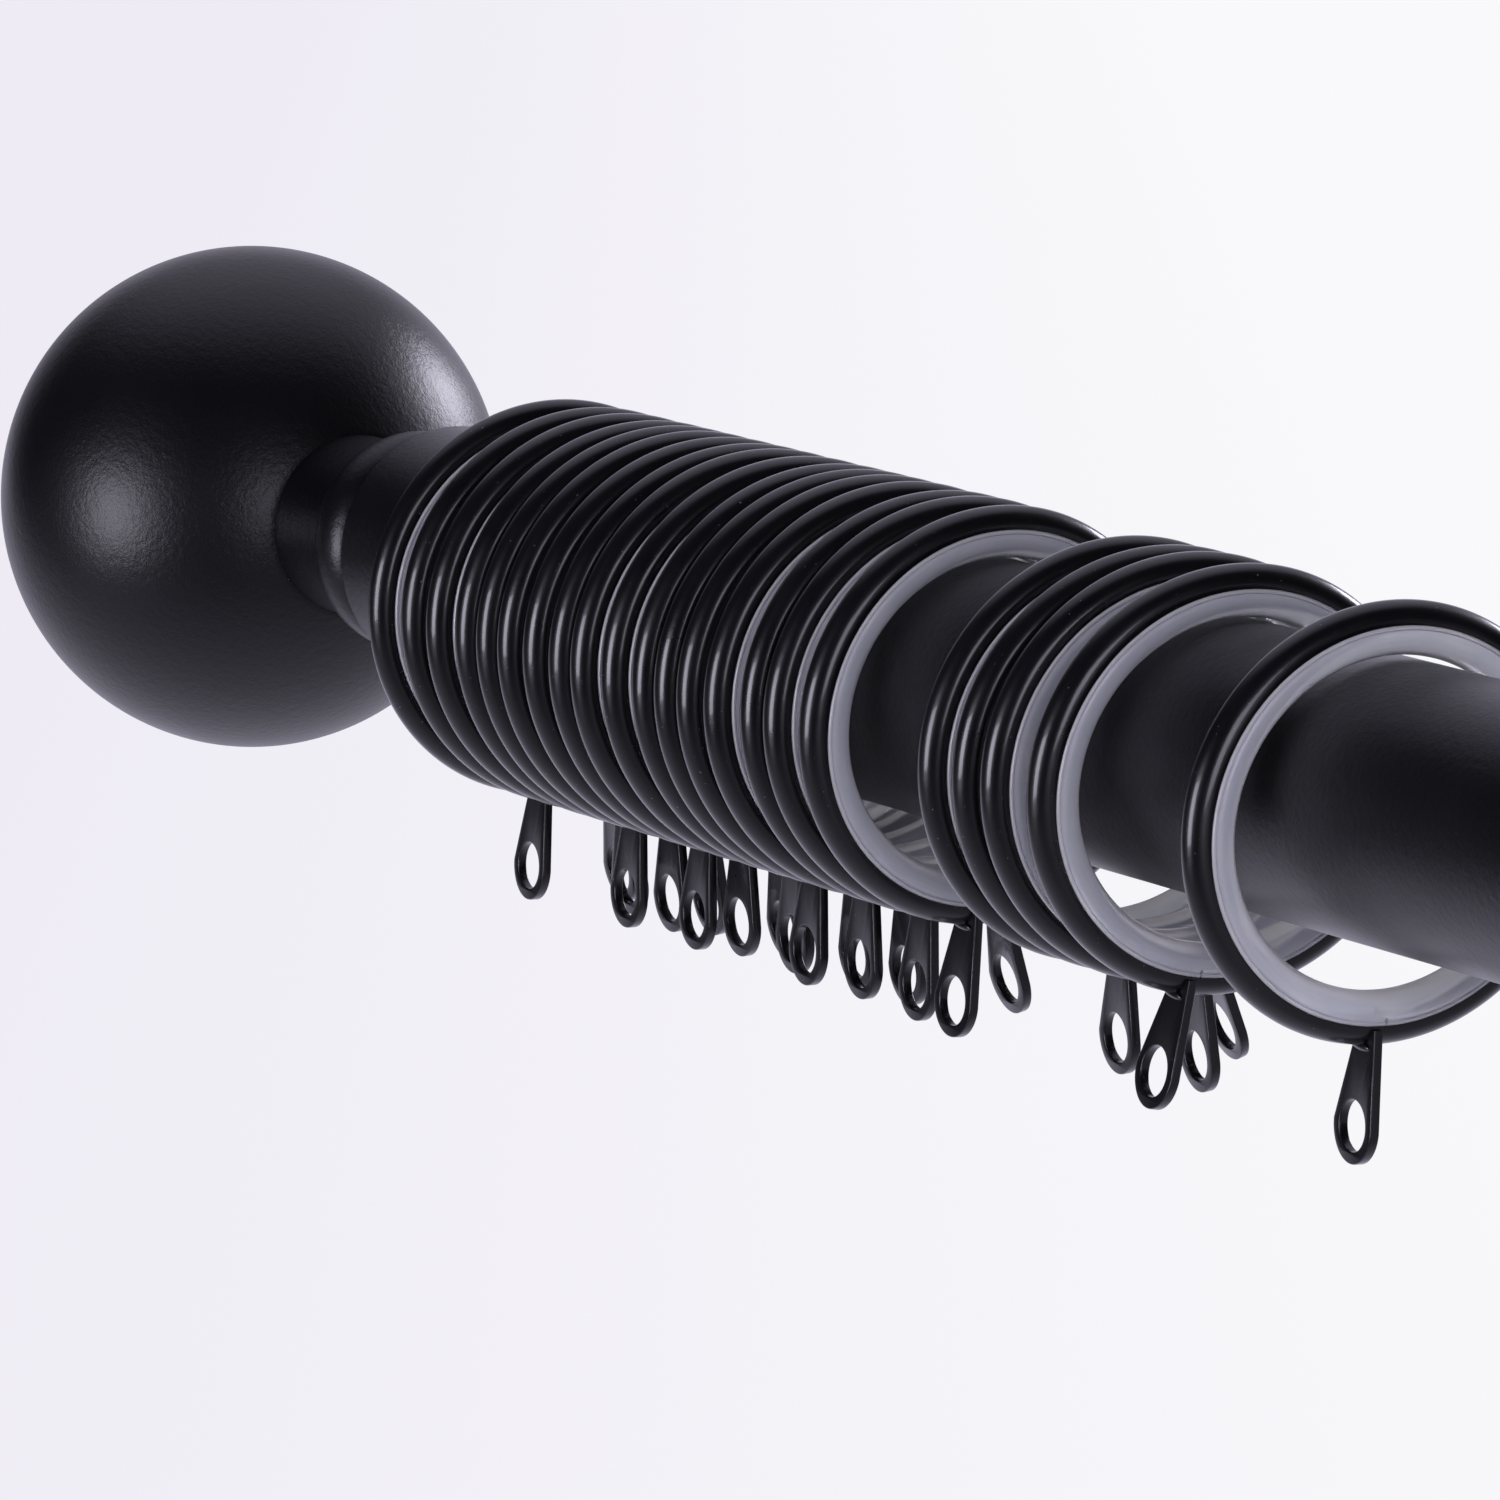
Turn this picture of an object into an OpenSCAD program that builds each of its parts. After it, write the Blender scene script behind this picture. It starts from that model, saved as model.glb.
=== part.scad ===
// Curtain rod on two wall brackets, with ball finials and 22 lined eyelet rings.
// Frame: origin on the wall, midway between the brackets, level with the pole's axis.
// +X runs along the pole, +Y points into the wall and +Z is up.

/* [Pole] */
// Outer diameter of the pole
pole_d = 28; // [25:1:32]
// Wall thickness of the pole's tube
pole_wall = 1.2; // [0.8:0.1:1.5]
// Length of the pole between its two cut ends
pole_len = 1200; // [1000:10:2400]
// Distance from the wall to the pole's axis
wall_gap = 90; // [80:1:120]

/* [Finials] */
// Diameter of the ball
ball_d = 58; // [50:1:64]
// Wall thickness of the hollow ball
ball_wall = 1.8; // [1.2:0.1:3]
// Distance from the end of the pole to the centre of the ball
ball_reach = 51.5; // [48:0.5:60]
// Diameter of the thin neck beside the ball
neck_d = 20.4; // [18:0.2:22]
// Distance from the end of the pole to the near side of the bead
bead_start = 4; // [3:0.5:6]
// Width of the bead on the neck
bead_w = 8; // [6:0.5:10]

/* [Rings] */
// Width of a metal ring along the pole
ring_w = 3.7; // [3.4:0.1:3.8]
// Width of a liner along the pole
liner_w = 4; // [3.9:0.1:4.2]
// Distance from the first ball's centre to the first ring
first_ring = 76; // [74:1:90]
// Gap left between a liner and the top of the pole
ride_gap = 0.4; // [0.3:0.1:0.6]

/* [Eyelets] */
// Thickness of an eyelet plate
eye_t = 1; // [0.8:0.1:1.2]
// Diameter of the hook hole
eye_hole_d = 5.2; // [4:0.1:5.4]
// Radius of the eyelet's round end
eye_end_r = 3.8; // [3.5:0.1:4]
// Distance from a ring's outside to the eyelet's tip
eye_drop = 12; // [11:0.5:14]

/* [Brackets] */
// Distance between the two brackets
bracket_gap = 600; // [560:10:640]
// Diameter of the round wall plate
plate_d = 60; // [56:1:80]
// Thickness of the wall plate
plate_t = 5; // [4:0.5:8]
// Spacing of the two wall screws in a plate
screw_gap = 40; // [36:1:44]
// Diameter of a wall screw's hole
screw_hole_d = 4.8; // [4:0.1:5.5]
// Diameter of the arm
arm_d = 12; // [10:0.5:14]
// Width of the cup along the pole
cup_w = 18; // [16:1:24]
// Wall thickness of the cup
cup_wall = 3.2; // [3:0.1:4]
// Height of the cup's sides above the pole's axis
cup_lip = 7; // [6:0.5:9]

/* [Hidden] */
$fn = 64;
CLEAR = 0.05;         // radial clearance of parts that slide into each other
CUT = 1;              // how far a cutting shape runs past the surface it cuts
paint = [0.10, 0.10, 0.11];
enamel = [0.13, 0.13, 0.14];
clear_plastic = [0.80, 0.81, 0.83];
steel = [0.55, 0.55, 0.56];

pole_r = pole_d / 2;
tube_r = pole_r - pole_wall;
half_len = pole_len / 2;
lock_x = 10.5;        // from a pole end to its grub screw
lock_r = 2;           // M4 grub screws
lock_len = 7;
lock_socket_r = 1.15;

plug_len = 26;
groove_r = tube_r - 1.4;
bead_r = tube_r - 0.3;
bead_round = 2.4;
neck_r = neck_d / 2;
ball_r = ball_d / 2;
seat_z = ball_reach - sqrt(ball_r * ball_r - neck_r * neck_r);  // flat where the ball meets its neck
stud_r = 4;
stud_in = 12;         // stud length inside the plug
stud_out = 12;        // stud length inside the ball
boss_r = 7;

ring_r = pole_r + 8;          // outside of a ring
bore_r = ring_w / 2;          // radius of the metal's round section
wall_t = 0.7;                 // metal thickness
spine_r = ring_r - bore_r;    // radius of the circle that the round section follows
mouth = 100;                  // where the open section ends, degrees from its outside
lip_r = spine_r + bore_r * cos(mouth);
crown_r = pole_r + 2.6;       // smallest radius of the liner
rim_step = 0.4;               // flat edge of the liner before it bulges inwards
arc_steps = 12;
bulge_steps = 8;
ring_drop = crown_r - pole_r - ride_gap;

// Rings 1 to 16 hang pushed together and nearly parallel, the others hang more freely
pack_count = 16;
pack_turn = -2;
pack_nod = 3;
free_turn = [0, -3, -3, -4, -3, -3];
free_nod = [5, 5, 6, 5, 6, 4];

// Distance from each ring to the next, in whole millimetres
ring_gaps = [8, 6, 7, 5, 5, 6, 6, 5, 7, 7, 5, 5, 6, 8, 5, 7, 26, 7, 6, 9, 30];
// Lean of each eyelet in whole degrees, positive towards the wall. Close neighbours differ
// by at least 4 degrees, so that their plates pass each other.
eye_leans = [-3, 10, 6, -1, 4, 8, -1, 3, 8, 3, -1, 5, 1, 5, -1, 14, -4, 4, 20, 7, -11, -3];

eye_tip_r = ring_r + eye_drop;
eye_c = [-0.35, eye_tip_r - eye_end_r];   // centre of the round end: along the pole, radius
arm_front = bore_r + 0.55;    // front edge of the arm that overlaps the ring
arm_back = 1.4;               // back edge of that arm
arm_top_r = lip_r + 0.3;
weld_r = bore_r - wall_t / 2; // the plate's root follows the middle of the metal
weld_angles = [-60, 64];      // where that root starts and ends on the round section

bracket_x = bracket_gap / 2;
boss_len = 6;                 // boss on the wall plate
spigot_r = 3;
spigot_len = 9;
sink_r = screw_hole_d / 2 + 2.2;
cup_in = pole_r + 0.15;
cup_out = cup_in + cup_wall;
cup_boss_r = arm_d / 2 + 1;
cup_boss_end = 24;            // from the pole's axis to the end of the cup's boss
bolt_r = 2.5;                 // M5 screw between cup and arm
bolt_head_r = 4.5;
bolt_head_in = pole_r + 0.2;
bolt_head_t = 1.7;
bolt_in = 12;
foot_r = 4.6;
foot_len = 4;

function gap_sum(n) = n < 1 ? 0 : ring_gaps[n - 1] + gap_sum(n - 1);
function ring_x(n) = -half_len - ball_reach + first_ring + gap_sum(n - 1);
// Turn about the upright, and nod with the foot towards the first ball
function ring_turn(n) = n > pack_count ? free_turn[n - pack_count - 1] : pack_turn;
function ring_nod(n) = n > pack_count ? free_nod[n - pack_count - 1] : pack_nod;

// Points of an arc about [cx, cy] from angle a to angle b
function arc(cx, cy, rx, ry, a, b, steps) =
    [for (i = [0:steps]) let (t = a + (b - a) * i / steps) [cx + rx * cos(t), cy + ry * sin(t)]];

LEFT = -1;
RIGHT = 1;

// Places a shape drawn about the pole's axis, X along the pole
module on_pole() {
    translate([0, -wall_gap, 0]) children();
}

// Places a shape drawn on Z at a pole end, with Z pointing outwards
module at_end(side) {
    on_pole() translate([side * half_len, 0, 0]) rotate([0, side * 90, 0]) children();
}

// Places a shape drawn on Z at a bracket, with Z pointing out of the wall
module at_bracket(side) {
    translate([side * bracket_x, 0, 0]) rotate([90, 0, 0]) children();
}

// Places a ring's own axes, X along the pole and the eyelet straight down
module at_ring(n) {
    on_pole() translate([ring_x(n), 0, -ring_drop])
        rotate([eye_leans[n - 1], ring_nod(n), ring_turn(n)]) children();
}

// A grub screw with its point at the origin and its socket on +Z
module grub_screw(len) {
    difference() {
        cylinder(r = lock_r, h = len);
        translate([0, 0, len - 2]) cylinder(r = lock_socket_r, h = 2 + CUT, $fn = 6);
    }
}

// Round tube, with a screw hole under each end
module pole() {
    color(paint) on_pole() difference() {
        translate([-half_len, 0, 0]) rotate([0, 90, 0]) cylinder(r = pole_r, h = pole_len);
        translate([-half_len - CUT, 0, 0]) rotate([0, 90, 0])
            cylinder(r = tube_r, h = pole_len + 2 * CUT);
        for (side = [LEFT, RIGHT])
            translate([side * (half_len - lock_x), 0, -pole_r - CUT])
                cylinder(r = lock_r, h = pole_r);
    }
}

// Hollow ball with an inner boss for the stud, cut flat where it meets the neck
module finial_ball(side) {
    color(paint) at_end(side) difference() {
        union() {
            difference() {
                translate([0, 0, ball_reach]) sphere(r = ball_r);
                translate([0, 0, ball_reach]) sphere(r = ball_r - ball_wall);
            }
            translate([0, 0, seat_z]) cylinder(r = boss_r, h = stud_out + ball_wall);
        }
        translate([0, 0, seat_z - ball_r]) cylinder(r = ball_r, h = ball_r);
        translate([0, 0, seat_z - CUT]) cylinder(r = stud_r, h = stud_out + CUT);
    }
}

// Turned neck: plug inside the tube, groove, bead and thin neck up to the ball
module finial_neck(side) {
    color(paint) at_end(side) difference() {
        rotate_extrude() polygon(concat(
            [[0, -plug_len], [tube_r - CLEAR - 1, -plug_len], [tube_r - CLEAR, -plug_len + 1],
             [tube_r - CLEAR, 0], [groove_r, 0], [groove_r, bead_start]],
            arc(bead_r - bead_round, bead_start + bead_w / 2, bead_round, bead_w / 2, -90, 90, 10),
            [[neck_r, bead_start + bead_w], [neck_r, seat_z], [0, seat_z]]));
        translate([0, 0, -stud_in]) cylinder(r = stud_r, h = stud_in + seat_z + CUT);
        rotate([0, side * 90, 0]) translate([lock_x * side, 0, pole_r - lock_len])
            cylinder(r = lock_r, h = lock_len);
    }
}

// Threaded stud between the neck and the ball
module finial_stud(side) {
    color(steel) at_end(side) translate([0, 0, -stud_in])
        cylinder(r = stud_r, h = stud_in + seat_z + stud_out);
}

// The grub screws that hold both necks in the tube, from below
module finial_grub_screws() {
    color(steel) on_pole() for (side = [LEFT, RIGHT])
        translate([side * (half_len - lock_x), 0, -pole_r + lock_len])
            rotate([180, 0, 0]) grub_screw(lock_len);
}

// Round wall plate with a centre boss and two countersunk holes
module wall_plate(side) {
    color(paint) at_bracket(side) difference() {
        union() {
            cylinder(r = plate_d / 2, h = plate_t - 1);
            translate([0, 0, plate_t - 1]) cylinder(r1 = plate_d / 2, r2 = plate_d / 2 - 1, h = 1);
            cylinder(r = arm_d / 2 + 3, h = plate_t + boss_len);
        }
        translate([0, 0, -CUT]) cylinder(r = spigot_r, h = plate_t + boss_len + 2 * CUT);
        for (s = [-1, 1]) translate([0, s * screw_gap / 2, 0]) {
            translate([0, 0, -CUT]) cylinder(d = screw_hole_d, h = plate_t + 2 * CUT);
            translate([0, 0, plate_t - 2.2]) cylinder(r1 = screw_hole_d / 2, r2 = sink_r, h = 2.2);
            translate([0, 0, plate_t]) cylinder(r = sink_r, h = CUT);
        }
    }
}

// Straight round arm with a threaded spigot in the plate and a threaded hole at the cup
module bracket_arm(side) {
    color(paint) at_bracket(side) difference() {
        union() {
            translate([0, 0, plate_t + boss_len])
                cylinder(d = arm_d, h = wall_gap - cup_boss_end - plate_t - boss_len);
            translate([0, 0, plate_t + boss_len - spigot_len]) cylinder(r = spigot_r, h = spigot_len + 1);
        }
        translate([0, 0, wall_gap - cup_boss_end - bolt_in]) cylinder(r = bolt_r, h = bolt_in + CUT);
    }
}

// U-shaped cup that the pole lies in, open at the top, with a boss towards the arm
// and a threaded foot below
module bracket_cup(side) {
    color(paint) on_pole() translate([side * bracket_x, 0, 0]) difference() {
        union() {
            rotate([90, 0, 90]) translate([0, 0, -cup_w / 2]) linear_extrude(cup_w) {
                circle(r = cup_out);
                translate([-cup_out, 0]) square([2 * cup_out, cup_lip]);
            }
            translate([0, cup_boss_end, 0]) rotate([90, 0, 0])
                cylinder(r = cup_boss_r, h = cup_boss_end - pole_r);
            translate([0, 0, -cup_out - foot_len]) cylinder(r = foot_r, h = foot_len + cup_wall / 2);
        }
        rotate([90, 0, 90]) translate([0, 0, -cup_w / 2 - CUT]) linear_extrude(cup_w + 2 * CUT) {
            circle(r = cup_in);
            translate([-cup_in, 0]) square([2 * cup_in, cup_out + CUT]);
        }
        translate([-cup_w, -cup_out - CUT, cup_lip])
            cube([2 * cup_w, 2 * cup_out + 2 * CUT, cup_out]);
        translate([0, cup_boss_end + CUT, 0]) rotate([90, 0, 0])
            cylinder(r = bolt_r, h = cup_boss_end);
        translate([0, bolt_head_in + bolt_head_t, 0]) rotate([90, 0, 0])
            cylinder(r = bolt_head_r, h = bolt_head_t + 2 * CUT);
        translate([0, 0, -cup_out - foot_len - CUT]) cylinder(r = lock_r, h = cup_out);
    }
}

// The screws that join each cup to its arm, heads sunk inside the cup
module cup_screws() {
    color(steel) on_pole() for (side = [LEFT, RIGHT])
        translate([side * bracket_x, bolt_head_in, 0]) rotate([-90, 0, 0]) difference() {
            union() {
                cylinder(r = bolt_head_r - CLEAR, h = bolt_head_t);
                cylinder(r = bolt_r, h = cup_boss_end - bolt_head_in + bolt_in - 1);
            }
            translate([0, 0, -CUT]) cylinder(r = 1.5, h = bolt_head_t + CUT, $fn = 6);
        }
}

// The grub screws under the cups that lock the pole
module cup_grub_screws() {
    color(steel) on_pole() for (side = [LEFT, RIGHT])
        translate([side * bracket_x, 0, -pole_r]) rotate([180, 0, 0]) grub_screw(lock_len);
}

// Section of the metal ring as [radius, along the pole]: a round tube, open inwards
metal_section = concat(
    arc(spine_r, 0, bore_r, bore_r, -mouth, mouth, arc_steps),
    arc(spine_r, 0, bore_r - wall_t, bore_r - wall_t, mouth, -mouth, arc_steps));

// Section of the liner: a round tongue held in the metal and a rim that bulges inwards
tongue_r = bore_r - wall_t - CLEAR;
tongue_half = tongue_r * sin(mouth);
rim_r = lip_r - CLEAR;
rim_half = liner_w / 2;
liner_section = concat(
    arc(spine_r, 0, tongue_r, tongue_r, -mouth, mouth, bulge_steps),
    [[rim_r, tongue_half], [rim_r, rim_half]],
    arc(rim_r - rim_step, 0, -(rim_r - rim_step - crown_r), rim_half, 90, -90, bulge_steps),
    [[rim_r, -rim_half], [rim_r, -tongue_half]]);

// Points of an arc on the round section, as [along the pole, radius]
function on_section(r, a, b, steps) = [for (p = arc(spine_r, 0, r, r, a, b, steps)) [p[1], p[0]]];

// Outline of the eyelet plate: X along the pole, Y the distance from the ring's axis
module eyelet_outline() {
    difference() {
        union() {
            polygon(concat(
                [[arm_back, arm_top_r], [arm_front, arm_top_r],
                 [eye_c[0] + eye_end_r, eye_c[1]], [eye_c[0] - eye_end_r, eye_c[1]]],
                on_section(weld_r, weld_angles[0], weld_angles[1], arc_steps)));
            translate(eye_c) circle(r = eye_end_r);
        }
        translate(eye_c) circle(d = eye_hole_d);
    }
}

// Metal ring with its welded eyelet
module ring(n) {
    color(enamel) at_ring(n) union() {
        rotate([0, 90, 0]) rotate_extrude() polygon(metal_section);
        translate([0, eye_t / 2, 0]) rotate([90, 0, 0]) linear_extrude(eye_t)
            mirror([0, 1]) eyelet_outline();
    }
}

// Plastic liner that rides on the pole
module liner(n) {
    color(clear_plastic) at_ring(n) rotate([0, 90, 0]) rotate_extrude() polygon(liner_section);
}

pole();
finial_ball(LEFT);  // finial_ball_left
finial_ball(RIGHT);  // finial_ball_right
finial_neck(LEFT);  // finial_neck_left
finial_neck(RIGHT);  // finial_neck_right
finial_stud(LEFT);  // finial_stud_left
finial_stud(RIGHT);  // finial_stud_right
finial_grub_screws();
wall_plate(LEFT);  // wall_plate_left
wall_plate(RIGHT);  // wall_plate_right
bracket_arm(LEFT);  // bracket_arm_left
bracket_arm(RIGHT);  // bracket_arm_right
bracket_cup(LEFT);  // bracket_cup_left
bracket_cup(RIGHT);  // bracket_cup_right
cup_screws();
cup_grub_screws();
ring(1);  // ring_01
ring(2);  // ring_02
ring(3);  // ring_03
ring(4);  // ring_04
ring(5);  // ring_05
ring(6);  // ring_06
ring(7);  // ring_07
ring(8);  // ring_08
ring(9);  // ring_09
ring(10);  // ring_10
ring(11);  // ring_11
ring(12);  // ring_12
ring(13);  // ring_13
ring(14);  // ring_14
ring(15);  // ring_15
ring(16);  // ring_16
ring(17);  // ring_17
ring(18);  // ring_18
ring(19);  // ring_19
ring(20);  // ring_20
ring(21);  // ring_21
ring(22);  // ring_22
liner(1);  // liner_01
liner(2);  // liner_02
liner(3);  // liner_03
liner(4);  // liner_04
liner(5);  // liner_05
liner(6);  // liner_06
liner(7);  // liner_07
liner(8);  // liner_08
liner(9);  // liner_09
liner(10);  // liner_10
liner(11);  // liner_11
liner(12);  // liner_12
liner(13);  // liner_13
liner(14);  // liner_14
liner(15);  // liner_15
liner(16);  // liner_16
liner(17);  // liner_17
liner(18);  // liner_18
liner(19);  // liner_19
liner(20);  // liner_20
liner(21);  // liner_21
liner(22);  // liner_22
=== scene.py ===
"""Curtain rod on two wall brackets, with ball finials and 22 lined eyelet rings.

Every place is worked out from the frame. Outlines are in millimetres, and new_object() turns them into
metres.
"""

import math

import bmesh
import bpy
import numpy as np
from mathutils import Matrix, Vector


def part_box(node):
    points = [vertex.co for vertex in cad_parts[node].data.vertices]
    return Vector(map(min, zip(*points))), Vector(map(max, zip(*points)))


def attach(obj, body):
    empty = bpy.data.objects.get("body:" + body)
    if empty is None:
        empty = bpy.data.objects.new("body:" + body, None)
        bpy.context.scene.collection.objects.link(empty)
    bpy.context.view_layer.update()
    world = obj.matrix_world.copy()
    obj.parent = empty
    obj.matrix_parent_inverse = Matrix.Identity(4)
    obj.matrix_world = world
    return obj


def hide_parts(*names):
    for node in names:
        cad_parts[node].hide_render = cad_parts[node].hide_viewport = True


MM = 0.001
LEFT, RIGHT = -1, 1
SIDES = {"left": LEFT, "right": RIGHT}
AROUND = 128          # steps round a turned piece
WELD = 0.002          # points closer than this, in mm, are one point after a cut

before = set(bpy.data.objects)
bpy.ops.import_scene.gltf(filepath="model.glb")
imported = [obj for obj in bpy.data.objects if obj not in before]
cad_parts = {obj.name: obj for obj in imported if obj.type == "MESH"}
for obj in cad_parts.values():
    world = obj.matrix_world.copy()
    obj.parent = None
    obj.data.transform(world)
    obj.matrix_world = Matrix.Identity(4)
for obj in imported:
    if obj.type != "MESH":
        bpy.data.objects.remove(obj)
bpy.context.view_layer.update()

# ---------------------------------------------------------------- driving sizes, in mm
pole_lo, pole_hi = (Vector(v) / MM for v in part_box("pole"))
POLE_R = (pole_hi.z - pole_lo.z) / 2
HALF_LEN = pole_hi.x
AXIS_Y = (pole_lo.y + pole_hi.y) / 2
TUBE_R = POLE_R - 1.2
ball_lo, ball_hi = (Vector(v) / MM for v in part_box("finial_ball_left"))
BALL_R = (ball_hi.z - ball_lo.z) / 2
BALL_REACH = -HALF_LEN - (ball_lo.x + BALL_R)
NECK_R = 10.2
SEAT = BALL_REACH - math.sqrt(BALL_R ** 2 - NECK_R ** 2)
STUD_R, STUD_LEN = 4, 12
LOCK_X, LOCK_R, LOCK_LEN = 10.5, 2, 7
BEAD_START, BEAD_W, BEAD_ROUND = 4, 8, 2.4
PLUG_LEN = 26         # of the neck inside the tube
POLE_EDGE = 0.5       # rounding of the pole's ends

plate_lo, plate_hi = (Vector(v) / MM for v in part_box("wall_plate_right"))
BRACKET_X = (plate_lo.x + plate_hi.x) / 2
PLATE_R = (plate_hi.x - plate_lo.x) / 2
PLATE_T, BOSS_LEN = 5, 6
SCREW_GAP, SCREW_R, SINK_R, SINK_T = 40, 2.4, 4.6, 2.2
ARM_R, SPIGOT_R, SPIGOT_LEN = 6, 3, 9
BOLT_R, BOLT_IN, BOLT_HEAD_R = 2.5, 12, 4.5
CUP_W, CUP_WALL, CUP_LIP = 18, 3.2, 7
CUP_IN = POLE_R + 0.15
CUP_OUT = CUP_IN + CUP_WALL
CUP_BOSS_END, FOOT_R, FOOT_LEN = 24, 4.6, 4

RING_R = POLE_R + 8
BORE_R = 1.85         # radius of the metal's round section
WALL_T = 0.7
SPINE_R = RING_R - BORE_R
MOUTH = 100           # where the open section ends, degrees from its outside
LIP_R = SPINE_R + BORE_R * math.cos(math.radians(MOUTH))
CROWN_R = POLE_R + 2.6
LINER_HALF = 2
TONGUE_R = BORE_R - WALL_T - 0.05
EYE_T, EYE_HOLE_R, EYE_END_R = 1, 2.6, 3.8
EYE_X = -0.35
EYE_DROP = 12         # how far the eyelet reaches beyond the ring
EYE_R = RING_R + EYE_DROP - EYE_END_R
ARM_BACK, ARM_FRONT = 1.4, BORE_R + 0.55   # the eyelet's two edges at the ring
ARM_TOP_R = LIP_R + 0.3
WELD_FROM, WELD_TO = -60, 64               # where the eyelet meets the ring's section, in degrees
BEAD_SIZE = (1.9, 0.45, 0.5)               # half sizes of a weld bead
NICK_W, NICK_H, NICK_TURN = 0.25, 1.2, 3   # the liner's nick, turned that many degrees off the eyelet
RING_COUNT = 22
LAST_FIXED_LINER = 17  # up to this ring, the liner and its ring are one body


# ---------------------------------------------------------------- outlines
def arc(cx, cy, rx, ry, a, b, steps):
    """Points of an arc about (cx, cy) from angle a to angle b, in degrees."""
    turns = np.radians(np.linspace(a, b, steps + 1))
    return [(cx + rx * math.cos(t), cy + ry * math.sin(t)) for t in turns]


def rounded(points, steps=5):
    """A closed outline from (x, y, radius) corners, each rounded to its radius."""
    out = []
    for i, (x, y, r) in enumerate(points):
        here = Vector((x, y))
        before = Vector(points[i - 1][:2]) - here
        after = Vector(points[(i + 1) % len(points)][:2]) - here
        if r <= 0:
            out.append((x, y))
            continue
        half = before.angle(after) / 2
        reach = min(r / math.tan(half), before.length * 0.49, after.length * 0.49)
        start, end = here + before.normalized() * reach, here + after.normalized() * reach
        for k in range(steps + 1):
            t = k / steps
            p = start * (1 - t) ** 2 + here * 2 * t * (1 - t) + end * t ** 2
            out.append((p.x, p.y))
    return out


# ---------------------------------------------------------------- mesh helpers
def new_object(name, bm, place=Matrix()):
    """A mesh object in metres, from a bmesh in mm that is moved to place. The bmesh is freed."""
    bmesh.ops.remove_doubles(bm, verts=bm.verts, dist=1e-4)
    bmesh.ops.recalc_face_normals(bm, faces=bm.faces)
    bmesh.ops.transform(bm, matrix=place, verts=bm.verts)
    bmesh.ops.scale(bm, vec=(MM, MM, MM), verts=bm.verts)
    mesh = bpy.data.meshes.new(name)
    bm.to_mesh(mesh)
    bm.free()
    obj = bpy.data.objects.new(name, mesh)
    bpy.context.scene.collection.objects.link(obj)
    return obj


def keep_local(obj):
    """Stores each point's place on the piece itself, for textures that run round it."""
    layer = obj.data.attributes.new("local", "FLOAT_VECTOR", "POINT")
    flat = np.empty(len(obj.data.vertices) * 3, dtype=np.float32)
    obj.data.vertices.foreach_get("co", flat)
    layer.data.foreach_set("vector", flat / MM)
    return obj


def smooth(obj, angle=32):
    """Smooth shading, with edges sharper than angle degrees kept sharp."""
    obj.data.shade_smooth()
    obj.data.set_sharp_from_angle(angle=math.radians(angle))
    return obj


def lathe(name, outline, place=Matrix(), steps=AROUND):
    """Turns a closed (radius, height) outline about Z."""
    bm = bmesh.new()
    rows = []
    for r, z in outline:
        if r < 1e-6:
            rows.append([bm.verts.new((0, 0, z))] * steps)
            continue
        turns = [2 * math.pi * i / steps for i in range(steps)]
        rows.append([bm.verts.new((r * math.cos(t), r * math.sin(t), z)) for t in turns])
    for a, b in zip(rows, rows[1:] + rows[:1]):
        for i in range(steps):
            j = (i + 1) % steps
            corners = list(dict.fromkeys((a[i], a[j], b[j], b[i])))
            if len(corners) > 2:
                bm.faces.new(corners)
    return new_object(name, bm, place)


def plate(name, outlines, thickness, edge, place=Matrix()):
    """A flat plate in XY, centred on Z, with rounded edges. Outlines after the first are holes."""
    curve = bpy.data.curves.new(name, "CURVE")
    curve.dimensions, curve.fill_mode = "2D", "BOTH"
    curve.extrude = thickness / 2 - edge
    curve.bevel_depth, curve.bevel_resolution, curve.offset = edge, 2, -edge
    for outline in outlines:
        spline = curve.splines.new("POLY")
        spline.points.add(len(outline) - 1)
        for point, (x, y) in zip(spline.points, outline):
            point.co = (x, y, 0, 1)
        spline.use_cyclic_u = True
    source = bpy.data.objects.new(name, curve)
    bpy.context.scene.collection.objects.link(source)
    bpy.context.view_layer.update()
    mesh = bpy.data.meshes.new_from_object(source.evaluated_get(bpy.context.evaluated_depsgraph_get()))
    bpy.data.objects.remove(source)
    bpy.data.curves.remove(curve)
    bm = bmesh.new()
    bm.from_mesh(mesh)
    bpy.data.meshes.remove(mesh)
    return new_object(name, bm, place)


def combine(obj, tool, operation):
    """obj joined with or cut by tool, which is then removed."""
    modifier = obj.modifiers.new(operation, "BOOLEAN")
    modifier.operation, modifier.solver, modifier.object = operation, "EXACT", tool
    bpy.context.view_layer.update()
    mesh = bpy.data.meshes.new_from_object(obj.evaluated_get(bpy.context.evaluated_depsgraph_get()))
    obj.modifiers.clear()
    bm = bmesh.new()
    bm.from_mesh(mesh)
    bmesh.ops.remove_doubles(bm, verts=bm.verts, dist=WELD * MM)
    bmesh.ops.dissolve_degenerate(bm, edges=bm.edges, dist=WELD * MM)
    bm.to_mesh(mesh)
    bm.free()
    old, obj.data = obj.data, mesh
    bpy.data.meshes.remove(old)
    bpy.data.objects.remove(tool)
    return obj


def drill(obj, radius, start, end, place, steps=48):
    """Cuts a round hole along Z of place, from start to end."""
    tool = lathe("drill", [(0, start), (radius, start), (radius, end), (0, end)], place, steps)
    return combine(obj, tool, "DIFFERENCE")


def turn(degrees, axis):
    """A turn about X, Y or Z."""
    return Matrix.Rotation(math.radians(degrees), 4, axis)


def at_end(side):
    """Z points outwards from a pole end."""
    return Matrix.Translation((side * HALF_LEN, AXIS_Y, 0)) @ turn(side * 90, "Y")


def at_bracket(side):
    """Z points out of the wall at a bracket."""
    return Matrix.Translation((side * BRACKET_X, 0, 0)) @ turn(90, "X")


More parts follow.
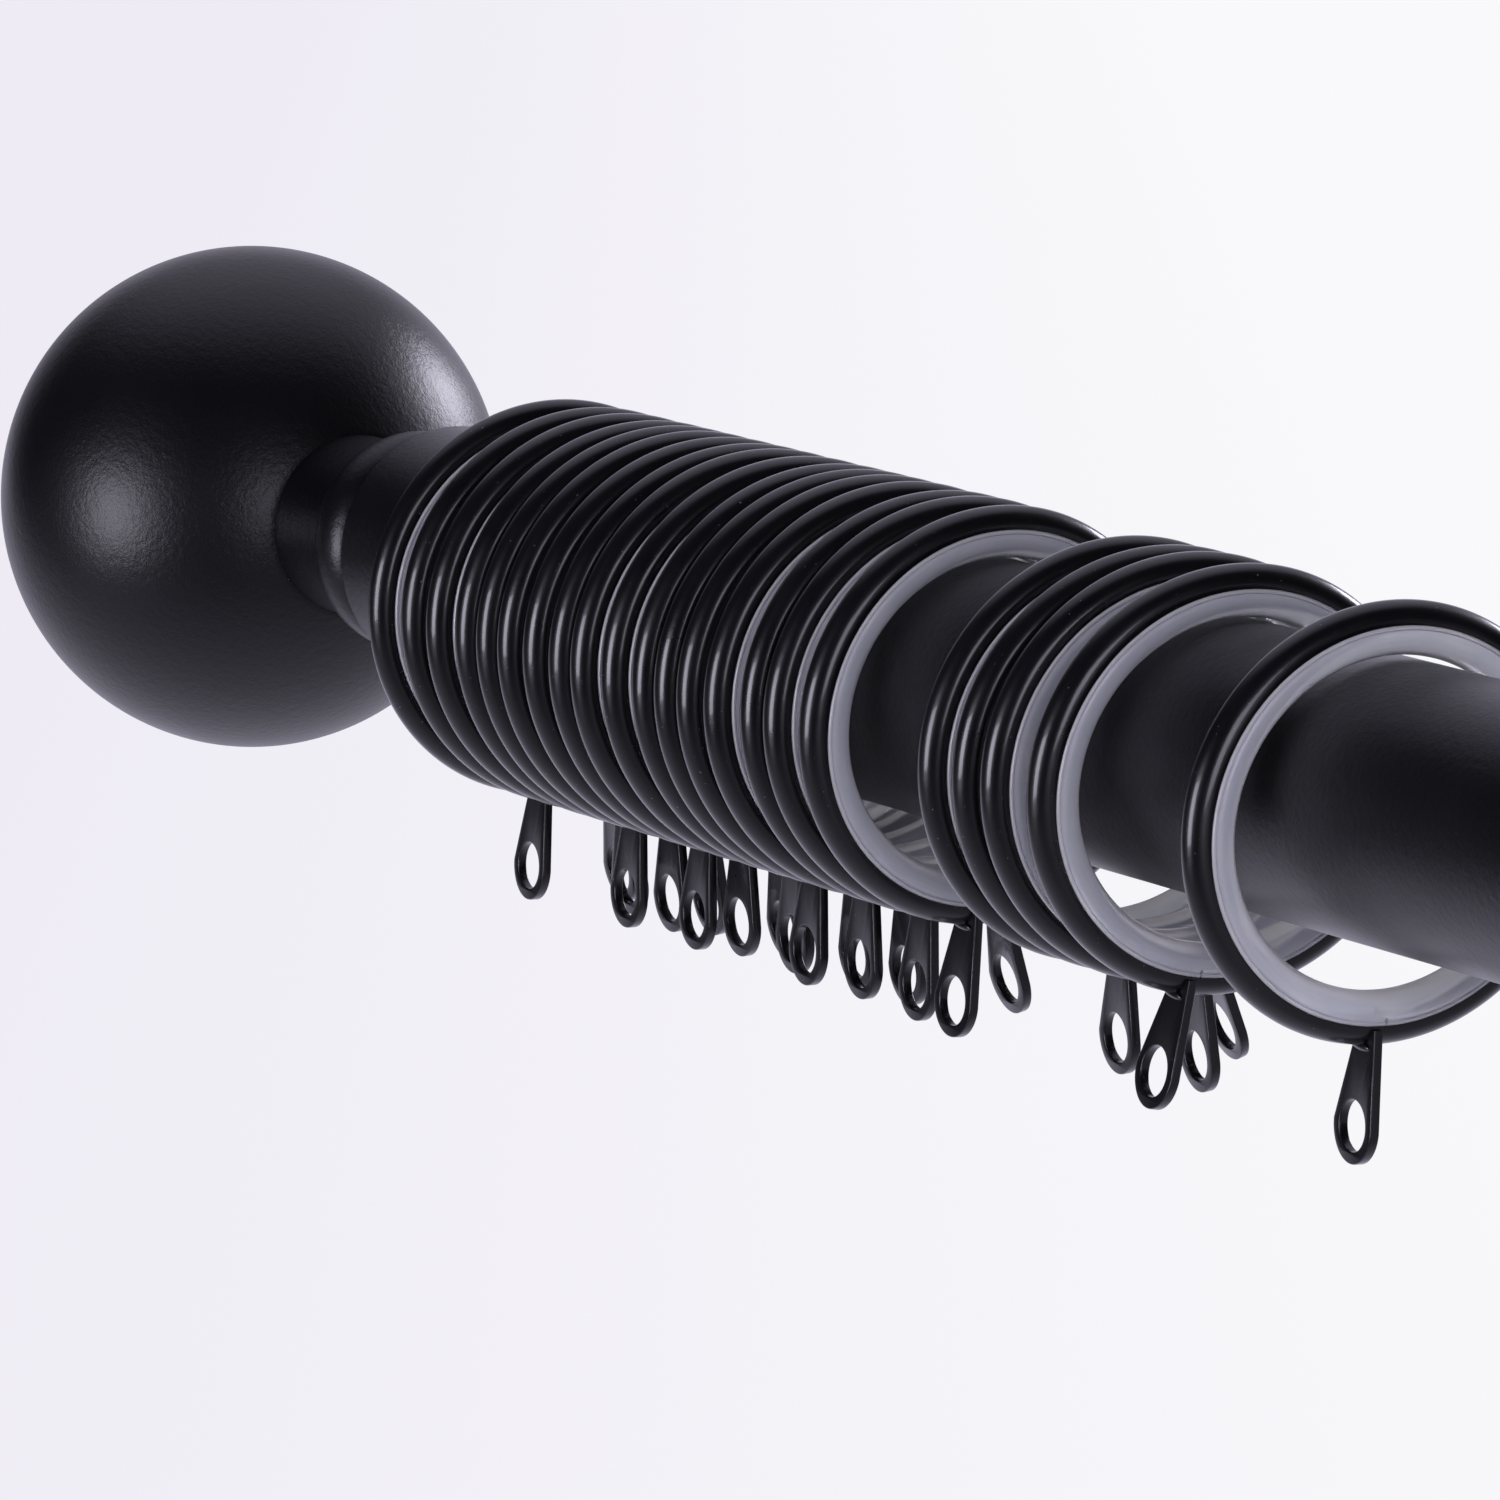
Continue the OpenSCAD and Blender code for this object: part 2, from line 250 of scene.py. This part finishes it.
def from_below(x):
    """Z points up at the pole's axis, at that place along the pole."""
    return Matrix.Translation((x, AXIS_Y, 0))


# ---------------------------------------------------------------- material helpers
class Nodes:
    """A short way to build one material."""

    def __init__(self, name="", tree=None):
        if tree is None:
            self.material = bpy.data.materials.new(name)
            self.material.use_nodes = True
            tree = self.material.node_tree
            self.shader = tree.nodes["Principled BSDF"]
        self.tree = tree

    def add(self, kind, inputs=(), **settings):
        node = self.tree.nodes.new(kind)
        for key, value in settings.items():
            setattr(node, key, value)
        for key, value in dict(inputs).items():
            self.set(node, key, value)
        return node

    def set(self, node, key, value):
        if isinstance(value, bpy.types.NodeSocket):
            self.tree.links.new(value, node.inputs[key])
        else:
            node.inputs[key].default_value = value

    def shade(self, **values):
        for key, value in values.items():
            self.set(self.shader, key.replace("_", " "), value)

    def output(self, shader):
        out = next(node for node in self.tree.nodes if node.type in ("OUTPUT_MATERIAL", "OUTPUT_WORLD"))
        self.tree.links.new(shader, out.inputs["Surface"])

    def place(self):
        """Object coordinates, shifted for each object so that equal pieces differ."""
        coords = self.add("ShaderNodeTexCoord").outputs["Object"]
        luck = self.add("ShaderNodeObjectInfo").outputs["Random"]
        shift = self.add("ShaderNodeVectorMath", {0: luck, 1: (3.1, 1.7, 2.3)}, operation="MULTIPLY")
        return self.add("ShaderNodeVectorMath", {0: coords, 1: shift.outputs[0]}).outputs[0]

    def direct(self):
        """1 where the background is looked at, straight or through clear plastic, and 0 for light."""
        rays = self.add("ShaderNodeLightPath").outputs
        return self.add("ShaderNodeMath", {0: rays["Is Camera Ray"], 1: rays["Is Transmission Ray"]},
                        operation="MAXIMUM").outputs[0]

    def radius(self):
        """Distance from a ring's axis in mm, from the places that keep_local() stored."""
        local = self.add("ShaderNodeAttribute", attribute_name="local").outputs["Vector"]
        flat = self.add("ShaderNodeVectorMath", {0: local, 1: (0, 1, 1)}, operation="MULTIPLY").outputs[0]
        return self.add("ShaderNodeVectorMath", {0: flat}, operation="LENGTH").outputs["Value"]

    def streaks(self, size_mm, length):
        """Noise drawn out round a ring's axis, from the places that keep_local() stored, in mm."""
        local = self.add("ShaderNodeAttribute", attribute_name="local").outputs["Vector"]
        along = self.add("ShaderNodeSeparateXYZ", {0: local})
        flat = self.add("ShaderNodeVectorMath", {0: local, 1: (0, 1, 1)}, operation="MULTIPLY").outputs[0]
        round_it = self.add("ShaderNodeVectorMath", {0: flat}, operation="NORMALIZE").outputs[0]
        circle = self.add("ShaderNodeSeparateXYZ", {0: round_it})
        luck = self.add("ShaderNodeObjectInfo").outputs["Random"]
        part = [self.add("ShaderNodeMath", {0: value, 1: factor}, operation="MULTIPLY").outputs[0]
                for value, factor in ((self.radius(), 1 / size_mm), (along.outputs["X"], 1 / size_mm),
                                      (circle.outputs["Y"], length), (circle.outputs["Z"], length))]
        turn_on = self.add("ShaderNodeMath", {0: part[3], 1: luck}, operation="ADD").outputs[0]
        vector = self.add("ShaderNodeCombineXYZ", {0: part[0], 1: part[1], 2: part[2]}).outputs[0]
        return self.add("ShaderNodeTexNoise", {
            "Vector": vector, "W": turn_on, "Scale": 1, "Detail": 3, "Roughness": 0.6,
        }, noise_dimensions="4D").outputs["Fac"]

    def noise(self, where, size_mm, detail=2, rough=0.5):
        return self.add("ShaderNodeTexNoise", {
            "Vector": where, "Scale": 1 / (size_mm * MM), "Detail": detail, "Roughness": rough,
        }).outputs["Fac"]

    def remap(self, value, low, high, out_low, out_high):
        return self.add("ShaderNodeMapRange", {
            "Value": value, "From Min": low, "From Max": high, "To Min": out_low, "To Max": out_high,
        }).outputs["Result"]

    def mix(self, factor, a, b):
        node = self.add("ShaderNodeMix", data_type="RGBA")
        for index, value in ((0, factor), (6, a), (7, b)):
            if isinstance(value, bpy.types.NodeSocket):
                self.tree.links.new(value, node.inputs[index])
            else:
                node.inputs[index].default_value = value
        return node.outputs[2]

    def bump(self, height, depth_mm, normal=None):
        node = self.add("ShaderNodeBump", {"Height": height, "Distance": depth_mm * MM, "Strength": 1.0})
        if normal is not None:
            self.tree.links.new(normal, node.inputs["Normal"])
        return node.outputs["Normal"]


def black_paint():
    """Matt powder coat: orange peel, a finer grain and faint cloudy patches."""
    n = Nodes("black_paint")
    where = n.place()
    peel = n.noise(where, 0.9, 3, 0.55)
    grain = n.noise(where, 0.32, 2)
    cloud = n.noise(where, 18, 3)
    n.shade(
        Base_Color=n.mix(cloud, (0.0014, 0.0013, 0.0024, 1), (0.0026, 0.0024, 0.0040, 1)),
        Roughness=n.remap(cloud, 0.3, 0.7, 0.33, 0.39),
        Normal=n.bump(grain, 0.022, n.bump(peel, 0.05)),
    )
    return n.material


def ring_enamel():
    """Satin enamel with a glossier skin: fine scratches, handling haze and sparse bright dust specks."""
    n = Nodes("ring_enamel")
    where = n.place()
    haze = n.noise(where, 6, 4)
    peel = n.noise(where, 0.7, 2)
    stretched = n.add("ShaderNodeMapping", {"Vector": where, "Scale": (0.25, 1, 1)})
    scratch = n.noise(stretched.outputs[0], 0.12, 1)
    speck = n.remap(n.noise(where, 0.32, 1), 0.78, 0.81, 0, 1)
    dark = n.mix(haze, (0.0018, 0.0017, 0.0026, 1), (0.0036, 0.0033, 0.0046, 1))
    n.shade(
        Base_Color=n.mix(speck, dark, (0.20, 0.19, 0.21, 1)),
        Roughness=n.remap(haze, 0.3, 0.7, 0.26, 0.34),
        Coat_Weight=0.4,
        Coat_Roughness=0.08,
        Normal=n.bump(scratch, 0.002, n.bump(peel, 0.010)),
    )
    return n.material


def liner_plastic():
    """Glossy translucent grey-white plastic, with streaks drawn round it and cloudy patches, and painted
    highlights: a lighter, warmer crest and a bright line at the lip.
    """
    n = Nodes("liner_plastic")
    where = n.place()
    cloud = n.noise(where, 5, 4)
    streak = n.streaks(0.3, 1.2)
    tone = n.mix(n.remap(streak, 0.3, 0.7, 0, 1), (0.80, 0.82, 0.88, 1), (0.92, 0.91, 0.93, 1))
    body = n.mix(n.remap(cloud, 0.35, 0.65, 0, 0.6), tone, (0.74, 0.78, 0.87, 1))
    # painted highlight: the inward crest, which faces the light overhead, gets a lighter, warmer colour
    crest_highlight = n.remap(n.radius(), CROWN_R + 0.1, CROWN_R + 0.9, 1, 0)
    body = n.mix(crest_highlight, body, (0.97, 0.93, 0.91, 1))
    # painted highlight: a near-white line along the lip's edge, where the thin plastic catches the light
    lip = n.remap(n.radius(), LIP_R - 0.42, LIP_R - 0.30, 0, 1)
    n.shade(
        Base_Color=n.mix(lip, body, (0.97, 0.96, 0.97, 1)),
        Roughness=n.remap(streak, 0.3, 0.7, 0.17, 0.27),
        Normal=n.bump(n.noise(where, 0.6, 2), 0.006, n.bump(streak, 0.006)),
        IOR=1.49,
        Transmission_Weight=0.40,
        Subsurface_Weight=0.25,
        Subsurface_Radius=(1, 1, 1),
        Subsurface_Scale=0.001,
    )
    return n.material


def screw_steel():
    """Dark zinc plating with turning marks."""
    n = Nodes("screw_steel")
    where = n.place()
    marks = n.noise(where, 0.15, 2)
    cloud = n.noise(where, 2.5, 3)
    n.shade(
        Base_Color=n.mix(cloud, (0.24, 0.24, 0.25, 1), (0.40, 0.40, 0.41, 1)),
        Metallic=1.0,
        Roughness=n.remap(cloud, 0.3, 0.7, 0.30, 0.45),
        Normal=n.bump(marks, 0.006),
    )
    return n.material


MATERIALS = {
    "black_paint": black_paint(),
    "ring_enamel": ring_enamel(),
    "liner_plastic": liner_plastic(),
    "screw_steel": screw_steel(),
}


def finish_piece(obj, slot, body, *nodes):
    """Gives a new piece the material of that slot if it has none, hides the CAD nodes that it stands for,
    and puts it in its body.
    """
    if not obj.data.materials:
        obj.data.materials.append(MATERIALS[slot])
    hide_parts(*nodes)
    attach(obj, body)


# ---------------------------------------------------------------- pole and finials
def build_pole():
    outline = rounded([(POLE_R, -HALF_LEN, POLE_EDGE), (POLE_R, HALF_LEN, POLE_EDGE),
                       (TUBE_R, HALF_LEN, POLE_EDGE / 2), (TUBE_R, -HALF_LEN, POLE_EDGE / 2)])
    obj = lathe("pole_tube", outline, from_below(0) @ turn(90, "Y"), 192)
    for side in SIDES.values():
        drill(obj, LOCK_R, -POLE_R - 1, -1, from_below(side * (HALF_LEN - LOCK_X)))
    return smooth(obj)


def build_ball(name, side):
    """Ball with a flat seat for the neck and a bore for the stud."""
    bore = SEAT + STUD_LEN
    seat_turn = math.degrees(math.asin(NECK_R / BALL_R))
    outline = [(0, bore), (STUD_R, bore), (STUD_R, SEAT)]
    outline += arc(0, BALL_REACH, BALL_R, BALL_R, seat_turn - 90, 90, 96)
    outline[-1] = (0, BALL_REACH + BALL_R)
    return smooth(lathe(name, outline, at_end(side), 192), 40)


def build_neck(name, side):
    """Plug in the tube, groove, bead with a small fillet each side, and neck up to the ball."""
    bead_r, groove_r = TUBE_R - 0.3, TUBE_R - 1.4
    plug_r = TUBE_R - 0.05
    bead_end = BEAD_START + BEAD_W
    outline = [(STUD_R, -STUD_LEN), (0, -STUD_LEN), (0, -PLUG_LEN), (plug_r - 1, -PLUG_LEN),
               (plug_r, 1 - PLUG_LEN),
               (plug_r, 0), (groove_r, 0), (groove_r, BEAD_START - 0.4)]
    outline += arc(bead_r - BEAD_ROUND, BEAD_START + BEAD_W / 2, BEAD_ROUND, BEAD_W / 2, -72, 72, 28)
    outline += arc(NECK_R + 0.8, bead_end + 0.8, -0.8, -0.8, 90, 0, 6)
    outline += [(NECK_R, SEAT), (STUD_R, SEAT)]
    obj = lathe(name, outline, at_end(side))
    return smooth(drill(obj, LOCK_R, -POLE_R, -POLE_R + LOCK_LEN, from_below(side * (HALF_LEN - LOCK_X))))


# ---------------------------------------------------------------- brackets
def build_wall_plate(name, side):
    boss_r, top = ARM_R + 3, PLATE_T + BOSS_LEN
    outline = rounded([(SPIGOT_R, 0, 0), (PLATE_R, 0, 0.2), (PLATE_R, PLATE_T, 1),
                       (boss_r, PLATE_T, 0.5), (boss_r, top, 0.8), (SPIGOT_R, top, 0)])
    obj = lathe(name, outline, at_bracket(side))
    for s in (-1, 1):
        sink = [(0, -1), (SCREW_R, -1), (SCREW_R, PLATE_T - SINK_T), (SINK_R, PLATE_T),
                (SINK_R, PLATE_T + 1), (0, PLATE_T + 1)]
        place = at_bracket(side) @ Matrix.Translation((0, s * SCREW_GAP / 2, 0))
        combine(obj, lathe("sink", sink, place, 64), "DIFFERENCE")
    return smooth(obj)


def build_arm(name, side):
    start, end = PLATE_T + BOSS_LEN, -AXIS_Y - CUP_BOSS_END
    outline = rounded([(0, start - SPIGOT_LEN, 0), (SPIGOT_R, start - SPIGOT_LEN, 0.4), (SPIGOT_R, start, 0),
                       (ARM_R, start, 0.4), (ARM_R, end, 0.4), (BOLT_R, end, 0.3),
                       (BOLT_R, end - BOLT_IN, 0), (0, end - BOLT_IN, 0)])
    return smooth(lathe(name, outline, at_bracket(side), 96))


def build_cup(name, side):
    """U-shaped cup with rounded lips, a boss towards the arm and a foot below."""
    middle = Matrix.Translation((side * BRACKET_X, AXIS_Y, 0))
    outline = [(CUP_OUT, CUP_LIP)] + arc(0, 0, CUP_OUT, CUP_OUT, 0, -180, 64)
    outline += [(-CUP_OUT, CUP_LIP), (-CUP_IN, CUP_LIP)]
    outline += arc(0, 0, CUP_IN, CUP_IN, 180, 360, 64) + [(CUP_IN, CUP_LIP)]
    across = middle @ turn(90, "Z") @ turn(90, "X")
    obj = plate(name, [outline], CUP_W, 0.5, across)
    boss = rounded([(0, POLE_R + 1, 0), (ARM_R + 1, POLE_R + 1, 0), (ARM_R + 1, CUP_BOSS_END, 0.6),
                    (0, CUP_BOSS_END, 0)])
    combine(obj, lathe("boss", boss, middle @ turn(-90, "X"), 96), "UNION")
    foot = rounded([(0, CUP_OUT - 1, 0), (FOOT_R, CUP_OUT - 1, 0), (FOOT_R, CUP_OUT + FOOT_LEN, 0.5),
                    (0, CUP_OUT + FOOT_LEN, 0)])
    combine(obj, lathe("foot", foot, middle @ turn(180, "X"), 96), "UNION")
    drill(obj, BOLT_R, 0, CUP_BOSS_END + 1, middle @ turn(-90, "X"))
    drill(obj, BOLT_HEAD_R, 0, POLE_R + 1.9, middle @ turn(-90, "X"), 64)
    drill(obj, LOCK_R, 0, CUP_OUT + FOOT_LEN + 1, middle @ turn(180, "X"))
    return smooth(obj)


# ---------------------------------------------------------------- rings
def build_ring(name):
    """Metal ring of open round section with its welded eyelet, X along the pole, eyelet down."""
    section = arc(SPINE_R, 0, BORE_R, BORE_R, -MOUTH, MOUTH, 36)
    section += arc(SPINE_R, 0, BORE_R - WALL_T, BORE_R - WALL_T, MOUTH, -MOUTH, 20)
    obj = lathe(name, section, turn(90, "Y"), 176)

    weld_r = BORE_R - WALL_T / 2
    root = [(y, r) for r, y in arc(SPINE_R, 0, weld_r, weld_r, WELD_FROM, WELD_TO, 16)]
    round_end = arc(EYE_X, EYE_R, EYE_END_R, EYE_END_R, 0, 180, 36)
    outline = [(ARM_BACK, ARM_TOP_R), (ARM_FRONT, ARM_TOP_R)] + round_end + root
    hole = arc(EYE_X, EYE_R, EYE_HOLE_R, EYE_HOLE_R, 0, 360, 48)[:-1]
    eyelet = plate("eyelet", [outline, hole], EYE_T, 0.12, turn(-90, "X"))
    combine(obj, eyelet, "UNION")

    # a flattened weld bead on each face of the plate, where it leaves the ring
    for face in (-1, 1):
        bead = lathe("weld", [(0, -1)] + arc(0, 0, 1, 1, -84, 84, 12) + [(0, 1)],
                     Matrix.Translation((0, face * EYE_T / 2, -RING_R - 0.05))
                     @ Matrix.Diagonal((*BEAD_SIZE, 1)), 32)
        combine(obj, bead, "UNION")
    return smooth(obj)


def build_liner(name):
    """Liner with a lip bead, a thin groove, the inward bulge and the nick of the moulded split."""
    tongue = arc(SPINE_R, 0, TONGUE_R, TONGUE_R, -MOUTH, MOUTH, 16)
    rim, groove = LIP_R - 0.05, LIP_R - 0.5
    half = LINER_HALF
    one_side = [(rim, TONGUE_R), (rim, half - 0.15), (rim - 0.12, half), (rim - 0.32, half),
                (groove, half - 0.18), (groove - 0.15, half - 0.05)]
    bulge = arc(groove - 0.3, 0, -(groove - 0.3 - CROWN_R), half, 86, -86, 28)
    section = tongue + one_side + bulge + [(r, -x) for r, x in reversed(one_side)]
    obj = lathe(name, section, turn(90, "Y"), 176)
    # the split: a nick in both lips, beside the eyelet
    nick = bmesh.new()
    bmesh.ops.create_cube(nick, size=1)
    place = turn(NICK_TURN, "X") @ Matrix.Translation((0, 0, 0.2 - LIP_R))
    place = place @ Matrix.Diagonal((LINER_HALF * 3, NICK_W, NICK_H, 1))
    combine(obj, new_object("nick", nick, place), "DIFFERENCE")
    return smooth(keep_local(obj), 40)


def vertices(node):
    """The separate points of a CAD node, in metres."""
    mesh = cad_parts[node].data
    co = np.empty(len(mesh.vertices) * 3)
    mesh.vertices.foreach_get("co", co)
    return np.unique(np.round(co.reshape(-1, 3), 7), axis=0)


def ring_place(number):
    """Where a ring stands, from its CAD liner's axis and its CAD eyelet's direction."""
    liner, ring = vertices(f"liner_{number:02d}"), vertices(f"ring_{number:02d}")
    axes = np.linalg.svd(liner - liner.mean(axis=0), full_matrices=False)[2]
    along = axes[2] * (1 if axes[2][0] > 0 else -1)
    local = (liner - liner.mean(axis=0)) @ axes.T
    centre = liner.mean(axis=0) + ((local.min(axis=0) + local.max(axis=0)) / 2) @ axes
    out = ring - centre
    out = out - np.outer(out @ along, along)
    eyelet = out[np.linalg.norm(out, axis=1) > (RING_R + 0.5) * MM].mean(axis=0)
    up = -eyelet / np.linalg.norm(eyelet)
    across = np.cross(up, along)
    place = Matrix.Identity(4)
    for column, axis in enumerate((along, across, up)):
        for row in range(3):
            place[row][column] = axis[row]
    place.translation = centre
    return place


def repeat(source, name, place):
    """A copy of source with its place in its own vertices, as in the CAD nodes."""
    mesh = source.data.copy()
    mesh.transform(place)
    obj = bpy.data.objects.new(name, mesh)
    bpy.context.scene.collection.objects.link(obj)
    return obj


# ---------------------------------------------------------------- assembly
def build_object():
    finish_piece(build_pole(), "black_paint", "rod", "pole")
    for word, side in SIDES.items():
        for build, piece, node in (
            (build_ball, "ball", "finial_ball"), (build_neck, "neck", "finial_neck"),
            (build_wall_plate, "plate", "wall_plate"), (build_arm, "arm", "bracket_arm"),
            (build_cup, "cup", "bracket_cup"),
        ):
            finish_piece(build(f"{piece}_{word}_look", side), "black_paint", "rod", f"{node}_{word}")
    for node in ("finial_stud_left", "finial_stud_right", "finial_grub_screws",
                 "cup_screws", "cup_grub_screws"):
        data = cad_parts[node].data
        data.materials.clear()
        data.materials.append(MATERIALS["screw_steel"])

    ring, liner = build_ring("ring_pattern"), build_liner("liner_pattern")
    for number in range(1, RING_COUNT + 1):
        place, tag = ring_place(number), f"{number:02d}"
        liner_body = f"ring_{tag}_body" if number <= LAST_FIXED_LINER else f"liner_{tag}_body"
        finish_piece(repeat(ring, f"ring_{tag}_look", place),
                     "ring_enamel", f"ring_{tag}_body", f"ring_{tag}")
        finish_piece(repeat(liner, f"liner_{tag}_look", place),
                     "liner_plastic", liner_body, f"liner_{tag}")
    for pattern in (ring, liner):
        bpy.data.objects.remove(pattern)


# ---------------------------------------------------------------- floor, world, lights, camera
PALE = (0.896, 0.888, 0.939, 1)
PALE_LEFT, PALE_RIGHT = (0.855, 0.831, 0.905, 1), (0.947, 0.947, 0.965, 1)
COOL = (0.84, 0.81, 1.0, 1)             # what the dark surfaces reflect
LIGHT_COLOUR = (0.88, 0.85, 1.0)
FLOOR_R, FLOOR_Z = 25000, -1000         # in mm
FOCUS = Vector((-HALF_LEN - BALL_REACH, AXIS_Y, 0)) * MM   # centre of the left ball
VIEW_FROM = FOCUS + Vector((1.186, -0.570, 0.175))
VIEW_HEADING, VIEW_DIP = math.radians(151.82), math.radians(8.85)
LENS, SENSOR = 275, 36                  # in mm
LIGHTS = (                              # name, direction, distance, size in m, radiance, seen in gloss
    ("side_softbox", (0, -1, -0.04), 1.8, (0.8, 0.8), 8.0, True),
    ("rear_softbox", (-0.14, 0.935, 0.325), 2.0, (0.8, 0.7), 14.0, True),
    ("front_fill", (0.95, -0.2, 0.05), 2.4, (1.0, 1.0), 3.8, True),
    ("matt_fill", (0.75, -0.5, 0.45), 2.4, (1.0, 1.0), 4.5, False),
)
GLOWS = (                               # direction, edge and full cosine, strength
    ((-0.40, 0.25, 0.88), 0.70, 0.95, 0.75),
    ((-0.86, 0.50, 0.05), 0.80, 0.97, 0.90),
)
GLOW_ELSEWHERE = 0.03


def add_floor():
    """A pale floor, a little lighter to the right. It lights the object less from -Y and +X,
    and is clear from below."""
    bm = bmesh.new()
    bmesh.ops.create_circle(bm, cap_ends=True, radius=FLOOR_R, segments=96)
    floor = new_object("floor", bm, Matrix.Translation((0, 0, FLOOR_Z)))
    for polygon in floor.data.polygons:
        if polygon.normal.z < 0:
            floor.data.flip_normals()
    n = Nodes("floor_pale")
    n.tree.nodes.remove(n.shader)
    spot = n.add("ShaderNodeTexCoord").outputs["Object"]
    across = n.add("ShaderNodeVectorMath", {0: spot, 1: (0.47, 0.88, 0)}, operation="DOT_PRODUCT")
    seen_colour = n.mix(n.remap(across.outputs["Value"], -0.83, 0.17, 0, 1), PALE_LEFT, PALE_RIGHT)
    seen = n.add("ShaderNodeEmission", {"Color": seen_colour, "Strength": 1.0}).outputs[0]
    where = n.add("ShaderNodeSeparateXYZ", {0: spot}).outputs
    level = n.add("ShaderNodeMath", {0: n.remap(where["Y"], -2.4, 0, 0.05, 1),
                                     1: n.remap(where["X"], -1.0, 0.6, 1, 0.3)}, operation="MULTIPLY")
    lit = n.add("ShaderNodeEmission", {"Color": COOL, "Strength": level.outputs[0]}).outputs[0]
    above = n.add("ShaderNodeMixShader", {0: n.direct(), 1: lit, 2: seen}).outputs[0]
    clear = n.add("ShaderNodeBsdfTransparent").outputs[0]
    back = n.add("ShaderNodeNewGeometry").outputs["Backfacing"]
    both = n.add("ShaderNodeMixShader", {0: back, 1: above, 2: clear}).outputs[0]
    n.output(both)
    floor.data.materials.append(n.material)


def add_world():
    """Pale for the camera. For light, one glow overhead and one ahead of the view, and dim elsewhere."""
    world = bpy.data.worlds.new("studio")
    bpy.context.scene.world = world
    world.use_nodes = True
    n = Nodes(tree=world.node_tree)
    direction = n.add("ShaderNodeTexCoord").outputs["Generated"]
    lobes = []
    for centre, edge, full, strength in GLOWS:
        near = n.add("ShaderNodeVectorMath", {0: direction, 1: centre}, operation="DOT_PRODUCT")
        lobes.append(n.remap(near.outputs["Value"], edge, full, GLOW_ELSEWHERE, strength))
    glow = n.add("ShaderNodeMath", {0: lobes[0], 1: lobes[1]}, operation="MAXIMUM")
    light = n.add("ShaderNodeBackground", {"Color": COOL, "Strength": glow.outputs[0]}).outputs[0]
    seen = n.add("ShaderNodeBackground", {"Color": PALE, "Strength": 1.0}).outputs[0]
    n.output(n.add("ShaderNodeMixShader", {0: n.direct(), 1: light, 2: seen}).outputs[0])


def add_light(name, direction, distance, size, radiance, mirrored):
    """A soft rectangular light of that radiance, facing the left ball."""
    data = bpy.data.lights.new(name, "AREA")
    data.shape, data.size, data.size_y = "RECTANGLE", size[0], size[1]
    data.energy = radiance * math.pi * size[0] * size[1]
    data.color = LIGHT_COLOUR
    light = bpy.data.objects.new(name, data)
    bpy.context.scene.collection.objects.link(light)
    towards = Vector(direction).normalized()
    light.location = FOCUS + towards * distance
    light.rotation_mode = "QUATERNION"
    light.rotation_quaternion = towards.to_track_quat("Z", "Y")
    light.visible_camera = False
    light.visible_glossy = mirrored


def add_camera():
    """The photograph's view: past the loose rings towards the left ball, a little from above."""
    data = bpy.data.cameras.new("camera")
    data.lens, data.sensor_width = LENS, SENSOR
    data.clip_start, data.clip_end = 0.05, 100
    camera = bpy.data.objects.new("camera", data)
    bpy.context.scene.collection.objects.link(camera)
    camera.location = VIEW_FROM
    level = math.cos(VIEW_DIP)
    forward = Vector((math.cos(VIEW_HEADING) * level, math.sin(VIEW_HEADING) * level, -math.sin(VIEW_DIP)))
    camera.rotation_mode = "QUATERNION"
    camera.rotation_quaternion = forward.to_track_quat("-Z", "Y")
    bpy.context.scene.camera = camera


bpy.context.scene.view_settings.view_transform = "Standard"
add_camera()
build_object()
add_floor()
add_world()
for light in LIGHTS:
    add_light(*light)
